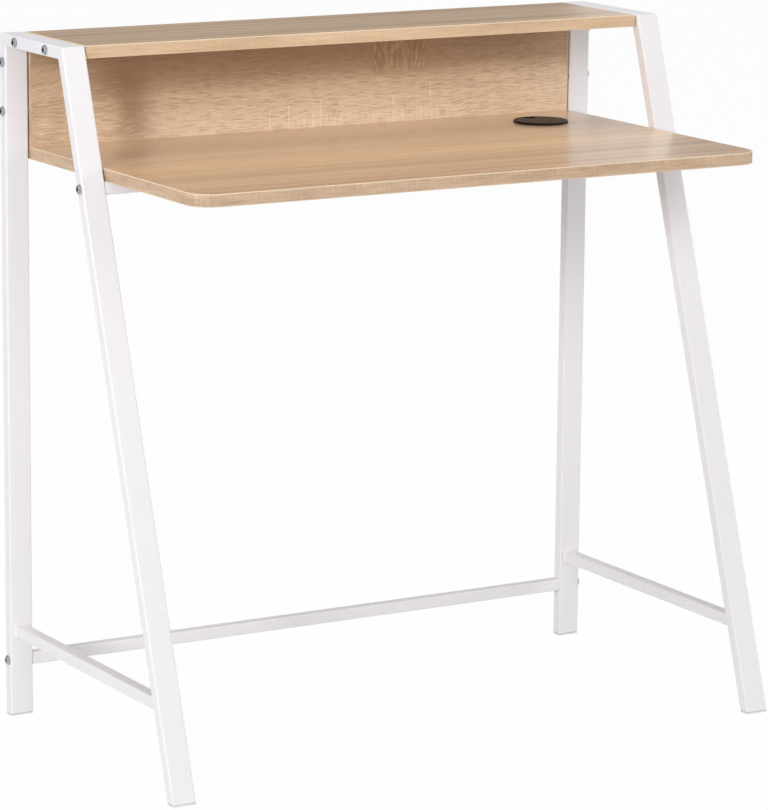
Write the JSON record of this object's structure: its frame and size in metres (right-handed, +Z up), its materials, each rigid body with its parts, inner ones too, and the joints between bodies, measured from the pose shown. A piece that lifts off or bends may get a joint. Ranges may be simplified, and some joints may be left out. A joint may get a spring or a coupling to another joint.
{
  "type": "computer desk",
  "caption": "Small computer desk with white tube side frames, an oak-look desktop, a raised rear shelf with a back panel, and a round cable grommet.",
  "frame": {"origin": "on the floor, under the middle of the desk's outline", "axes": "+X to the right seen from the front, +Y towards the back panel, +Z up"},
  "size_m": [0.8466, 0.45, 0.85],
  "materials": {
    "white_powder_coat": "satin white powder coat on steel tube",
    "oak_board": "satin pale-oak printed facing on chipboard",
    "oak_edge_band": "satin pale-oak printed edge band",
    "white_plastic": "moulded white plastic",
    "black_plastic": "fine-textured black plastic",
    "bright_steel": "bright zinc-plated steel",
    "plain_steel": "dull zinc-plated steel",
    "beech_dowel": "raw beech"
  },
  "bodies": {
    "desk": {"back_panel": "oak_board", "back_panel_barrel_nuts": "plain_steel", "back_panel_bolts": "bright_steel", "back_panel_dowels": "beech_dowel", "back_panel_end_bands": "oak_edge_band", "back_panel_screws": "bright_steel", "back_panel_spacers": "white_plastic", "desktop": "oak_board", "desktop_edge_band": "oak_edge_band", "desktop_front_screws": "bright_steel", "front_cross_rail": "white_powder_coat", "front_rail_bolts": "bright_steel", "front_rail_end_nuts": "plain_steel", "left_front_foot": "white_plastic", "left_front_leg": "white_powder_coat", "left_rear_foot": "white_plastic", "left_rear_upright": "white_powder_coat", "left_side_rail": "white_powder_coat", "left_top_rail": "white_powder_coat", "rear_cross_rail": "white_powder_coat", "rear_rail_bolts": "bright_steel", "rear_rail_end_nuts": "plain_steel", "right_front_foot": "white_plastic", "right_front_leg": "white_powder_coat", "right_rear_foot": "white_plastic", "right_rear_upright": "white_powder_coat", "right_side_rail": "white_powder_coat", "right_top_rail": "white_powder_coat", "shelf_barrel_nuts": "plain_steel", "shelf_bolts": "bright_steel", "shelf_dowels": "beech_dowel", "shelf_spacers": "white_plastic", "top_shelf": "oak_board", "top_shelf_edge_band": "oak_edge_band"},
    "grommet_liner": {"grommet_liner": "black_plastic"},
    "grommet_lid": {"grommet_lid": "black_plastic"}
  },
  "joints": [
    {"name": "grommet_turn", "type": "hinge", "parent": "desk", "child": "grommet_liner", "pos_m": [0.29, 0.122, 0.711], "axis": [0, 0, 1], "continuous": true},
    {"name": "grommet_lid_lift", "type": "slide", "parent": "grommet_liner", "child": "grommet_lid", "axis": [0, 0, 1], "range_m": [0, 0.04]}
  ]
}
